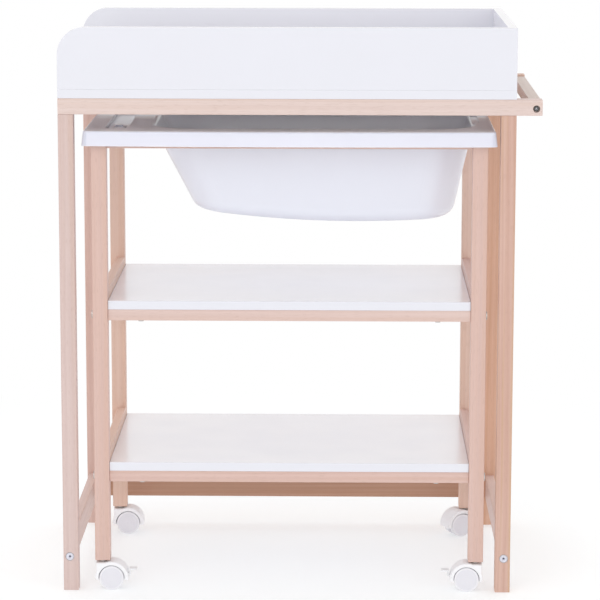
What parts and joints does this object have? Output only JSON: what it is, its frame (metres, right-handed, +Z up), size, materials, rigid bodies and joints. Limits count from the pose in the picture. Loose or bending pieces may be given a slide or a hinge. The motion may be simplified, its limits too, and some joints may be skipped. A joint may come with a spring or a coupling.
{
  "type": "changing table with bathtub",
  "caption": "Wooden baby changing table with a white tray, open at one end, a towel bar, and a trolley under it that carries shelves and a lift-off bath and rolls out on castors.",
  "frame": {"origin": "on the floor under the middle of the whole object's bounding box, with the trolley parked in the table", "axes": "+Z up, +X towards the end that has the towel bar, -Y towards the front, where the trolley rolls out"},
  "size_m": [0.8, 0.4946, 0.956],
  "materials": {
    "beech": "clear matt lacquer on planed beech",
    "dowel": "bare",
    "board": "white melamine on particle board",
    "bath_plastic": "glossy",
    "plug_plastic": "glossy",
    "castor_plastic": "satin",
    "wheel_plastic": "matt",
    "pedal_plastic": "satin",
    "steel": "zinc plated"
  },
  "bodies": {
    "table": {"table_leg_front_left": "beech", "table_leg_front_right": "beech", "table_leg_back_left": "beech", "table_leg_back_right": "beech", "table_rail_front": "beech", "table_rail_back": "beech", "table_rail_left": "beech", "table_rail_right": "beech", "stretcher_left": "beech", "stretcher_right": "beech", "stretcher_back": "beech", "towel_bar": "beech", "tray_base": "board", "tray_panel_front": "board", "tray_panel_back": "board", "tray_panel_right": "board", "table_dowels": "dowel", "stretcher_bolts": "steel", "towel_bar_bolts": "steel", "tray_screws": "steel"},
    "trolley": {"trolley_leg_front_left": "beech", "trolley_leg_front_right": "beech", "trolley_leg_back_left": "beech", "trolley_leg_back_right": "beech", "trolley_rail_lower_front": "beech", "trolley_rail_lower_back": "beech", "trolley_rail_lower_left": "beech", "trolley_rail_lower_right": "beech", "trolley_rail_upper_front": "beech", "trolley_rail_upper_back": "beech", "trolley_rail_upper_left": "beech", "trolley_rail_upper_right": "beech", "trolley_rail_head_front": "beech", "trolley_rail_head_back": "beech", "trolley_rail_head_left": "beech", "trolley_rail_head_right": "beech", "shelf_lower": "board", "shelf_upper": "board", "trolley_dowels": "dowel", "trolley_bolts": "steel", "shelf_screws": "steel", "castor_sockets": "castor_plastic", "castor_stems": "steel"},
    "castor_front_left": {"castor_hood_front_left": "castor_plastic", "castor_axle_front_left": "steel"},
    "wheels_front_left": {"castor_wheels_front_left": "wheel_plastic"},
    "pedal_front_left": {"brake_pedal_front_left": "pedal_plastic"},
    "castor_front_right": {"castor_hood_front_right": "castor_plastic", "castor_axle_front_right": "steel"},
    "wheels_front_right": {"castor_wheels_front_right": "wheel_plastic"},
    "pedal_front_right": {"brake_pedal_front_right": "pedal_plastic"},
    "castor_back_left": {"castor_hood_back_left": "castor_plastic", "castor_axle_back_left": "steel"},
    "wheels_back_left": {"castor_wheels_back_left": "wheel_plastic"},
    "castor_back_right": {"castor_hood_back_right": "castor_plastic", "castor_axle_back_right": "steel"},
    "wheels_back_right": {"castor_wheels_back_right": "wheel_plastic"},
    "bath": {"bathtub": "bath_plastic"},
    "plug": {"drain_plug": "plug_plastic"}
  },
  "joints": [
    {"name": "trolley_roll_out", "type": "slide", "parent": "table", "child": "trolley", "axis": [0, -1, 0], "range_m": [-0.05, 0.6]},
    {"name": "swivel_front_left", "type": "hinge", "parent": "trolley", "child": "castor_front_left", "pos_m": [-0.33375, -0.2145, 0.0474], "axis": [0, 0, 1], "range_deg": [-110, 110]},
    {"name": "roll_front_left", "type": "hinge", "parent": "castor_front_left", "child": "wheels_front_left", "pos_m": [-0.31875, -0.2145, 0.021], "axis": [0, -1, 0], "continuous": true},
    {"name": "brake_front_left", "type": "hinge", "parent": "castor_front_left", "child": "pedal_front_left", "pos_m": [-0.29355, -0.2145, 0.025], "axis": [0, -1, 0], "range_deg": [-12, 0]},
    {"name": "swivel_front_right", "type": "hinge", "parent": "trolley", "child": "castor_front_right", "pos_m": [0.29925, -0.2145, 0.0474], "axis": [0, 0, 1], "range_deg": [-110, 110]},
    {"name": "roll_front_right", "type": "hinge", "parent": "castor_front_right", "child": "wheels_front_right", "pos_m": [0.28425, -0.2145, 0.021], "axis": [0, 1, 0], "continuous": true},
    {"name": "brake_front_right", "type": "hinge", "parent": "castor_front_right", "child": "pedal_front_right", "pos_m": [0.25905, -0.2145, 0.025], "axis": [0, 1, 0], "range_deg": [-12, 0]},
    {"name": "swivel_back_left", "type": "hinge", "parent": "trolley", "child": "castor_back_left", "pos_m": [-0.33375, 0.157, 0.0474], "axis": [0, 0, 1], "continuous": true},
    {"name": "roll_back_left", "type": "hinge", "parent": "castor_back_left", "child": "wheels_back_left", "pos_m": [-0.31875, 0.157, 0.021], "axis": [0, -1, 0], "continuous": true},
    {"name": "swivel_back_right", "type": "hinge", "parent": "trolley", "child": "castor_back_right", "pos_m": [0.29925, 0.157, 0.0474], "axis": [0, 0, 1], "continuous": true},
    {"name": "roll_back_right", "type": "hinge", "parent": "castor_back_right", "child": "wheels_back_right", "pos_m": [0.28577, 0.15042, 0.021], "axis": [-0.4384, 0.8988, 0], "continuous": true},
    {"name": "bath_lift", "type": "slide", "parent": "trolley", "child": "bath", "axis": [0, 0, 1], "range_m": [0, 0.025]},
    {"name": "plug_lift", "type": "slide", "parent": "bath", "child": "plug", "axis": [0, 0, 1], "range_m": [0, 0.04]}
  ]
}
